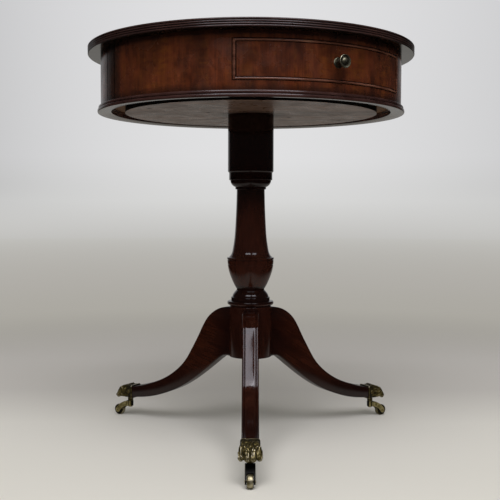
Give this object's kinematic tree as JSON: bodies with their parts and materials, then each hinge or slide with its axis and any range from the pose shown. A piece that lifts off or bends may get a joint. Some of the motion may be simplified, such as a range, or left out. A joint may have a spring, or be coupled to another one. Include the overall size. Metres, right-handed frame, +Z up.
{
  "type": "drum table",
  "caption": "Round mahogany drum table with a revolving top, bowed drawer, turned column and legs on brass paw castors.",
  "frame": {"origin": "point on the floor under the turning axis, midway between the castor wheels", "axes": "+Z up along the column, -Y out of the drawer's front, +X to the right of someone facing the drawer"},
  "size_m": [0.571, 0.548, 0.66],
  "materials": {
    "polished_mahogany": "gloss",
    "veneered_mahogany": "gloss",
    "drawer_linings": "matte",
    "raw_boards": "matte",
    "aged_brass": "satin",
    "plain_steel": "satin",
    "forged_iron": "matte",
    "baize": "matte"
  },
  "bodies": {
    "base": {"column": "polished_mahogany", "leg_front": "polished_mahogany", "leg_right": "polished_mahogany", "leg_left": "polished_mahogany", "leg_strap": "forged_iron", "strap_screws": "plain_steel", "bearing_disc": "raw_boards", "disc_screws": "plain_steel", "felt_ring": "baize", "spindle": "plain_steel", "spindle_washer": "plain_steel", "spindle_nut": "plain_steel", "paw_front": "aged_brass", "paw_right": "aged_brass", "paw_left": "aged_brass", "cap_screws_front": "aged_brass", "cap_screws_right": "aged_brass", "cap_screws_left": "aged_brass", "castor_pin_front": "aged_brass", "castor_pin_right": "aged_brass", "castor_pin_left": "aged_brass"},
    "drum": {"top_panel": "veneered_mahogany", "top_edge": "polished_mahogany", "frieze": "veneered_mahogany", "base_moulding": "polished_mahogany", "floor_board": "raw_boards", "runner_left": "drawer_linings", "runner_right": "drawer_linings", "guide_left": "drawer_linings", "guide_right": "drawer_linings", "kicker_left": "drawer_linings", "kicker_right": "drawer_linings", "top_screws": "plain_steel", "drawer_stops": "drawer_linings", "glue_blocks": "drawer_linings"},
    "drawer": {"drawer_front": "veneered_mahogany", "bead_top": "veneered_mahogany", "bead_bottom": "veneered_mahogany", "bead_left": "veneered_mahogany", "bead_right": "veneered_mahogany", "drawer_side_left": "drawer_linings", "drawer_side_right": "drawer_linings", "drawer_back": "drawer_linings", "drawer_bottom": "drawer_linings", "knob": "aged_brass", "knob_screw": "plain_steel"},
    "castor_front": {"castor_fork_front": "aged_brass", "castor_axle_front": "aged_brass"},
    "wheel_front": {"castor_wheel_front": "aged_brass"},
    "castor_right": {"castor_fork_right": "aged_brass", "castor_axle_right": "aged_brass"},
    "wheel_right": {"castor_wheel_right": "aged_brass"},
    "castor_left": {"castor_fork_left": "aged_brass", "castor_axle_left": "aged_brass"},
    "wheel_left": {"castor_wheel_left": "aged_brass"}
  },
  "joints": [
    {"name": "drum_turn", "type": "hinge", "parent": "base", "child": "drum", "pos_m": [0, 0, 0.5685], "axis": [0, 0, 1], "continuous": true},
    {"name": "drawer_slide", "type": "slide", "parent": "drum", "child": "drawer", "axis": [0, -1, 0], "range_m": [0, 0.13]},
    {"name": "castor_swivel_front", "type": "hinge", "parent": "base", "child": "castor_front", "pos_m": [-0.131, -0.2269, 0.024], "axis": [0, 0, 1], "continuous": true},
    {"name": "wheel_spin_front", "type": "hinge", "parent": "castor_front", "child": "wheel_front", "pos_m": [-0.1435, -0.24855, 0.01], "axis": [0.866, -0.5, 0], "continuous": true},
    {"name": "castor_swivel_right", "type": "hinge", "parent": "base", "child": "castor_right", "pos_m": [0.262, 0, 0.024], "axis": [0, 0, 1], "continuous": true},
    {"name": "wheel_spin_right", "type": "hinge", "parent": "castor_right", "child": "wheel_right", "pos_m": [0.287, 0, 0.01], "axis": [0, 1, 0], "continuous": true},
    {"name": "castor_swivel_left", "type": "hinge", "parent": "base", "child": "castor_left", "pos_m": [-0.131, 0.2269, 0.024], "axis": [0, 0, 1], "continuous": true},
    {"name": "wheel_spin_left", "type": "hinge", "parent": "castor_left", "child": "wheel_left", "pos_m": [-0.1435, 0.24855, 0.01], "axis": [-0.866, -0.5, 0], "continuous": true}
  ]
}
